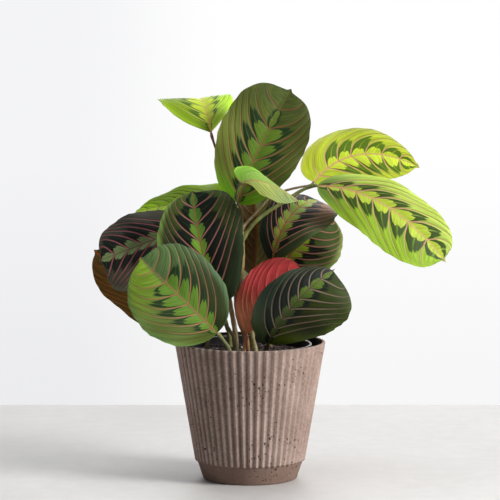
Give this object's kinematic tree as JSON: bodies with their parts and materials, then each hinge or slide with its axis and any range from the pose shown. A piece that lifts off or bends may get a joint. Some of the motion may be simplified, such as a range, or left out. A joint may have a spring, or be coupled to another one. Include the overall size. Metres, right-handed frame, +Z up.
{
  "type": "potted prayer plant maranta",
  "caption": "Prayer plant with broad oval patterned leaves on thin stalks, in a black nursery pot inside a ribbed taupe concrete-look cover pot.",
  "frame": {"origin": "centre of the cover pot's flat underside", "axes": "+Z up, -Y towards the side that the picture shows, +X to the right of that view"},
  "size_m": [0.3209, 0.1846, 0.3525],
  "materials": {
    "concrete": "matte",
    "black_plastic": "gloss",
    "peat": "matte",
    "stalk": "satin",
    "leaf_green": "satin",
    "leaf_dark": "satin",
    "leaf_lime": "satin",
    "leaf_crimson": "satin",
    "leaf_olive": "satin"
  },
  "bodies": {
    "root": {"cover_pot": "concrete", "nursery_pot": "black_plastic", "soil": "peat", "shoot_tall": "stalk", "shoot_left": "stalk", "shoot_front_left": "stalk", "shoot_middle_left": "stalk", "shoot_low_left": "stalk", "shoot_inner": "stalk", "shoot_rolled": "stalk", "shoot_front_right": "stalk", "shoot_back_middle": "stalk", "shoot_back_left": "stalk", "shoot_back_right": "stalk", "leaf_top": "leaf_green", "leaf_upper_left": "leaf_lime", "leaf_right_upper": "leaf_lime", "leaf_right_lower": "leaf_lime", "leaf_young": "leaf_lime", "leaf_left": "leaf_dark", "leaf_far_left": "leaf_dark", "leaf_front_left": "leaf_green", "leaf_back_left": "leaf_lime", "leaf_low_left": "leaf_olive", "leaf_centre_right": "leaf_dark", "leaf_inner_right": "leaf_dark", "leaf_rolled": "leaf_crimson", "leaf_front_right": "leaf_dark", "leaf_inner": "leaf_olive", "leaf_back_top": "leaf_green", "leaf_back_left_low": "leaf_green", "leaf_back_right_low": "leaf_dark", "leaf_back_middle": "leaf_dark", "leaf_back_left_high": "leaf_green", "leaf_back_right_high": "leaf_green"}
  },
  "joints": []
}
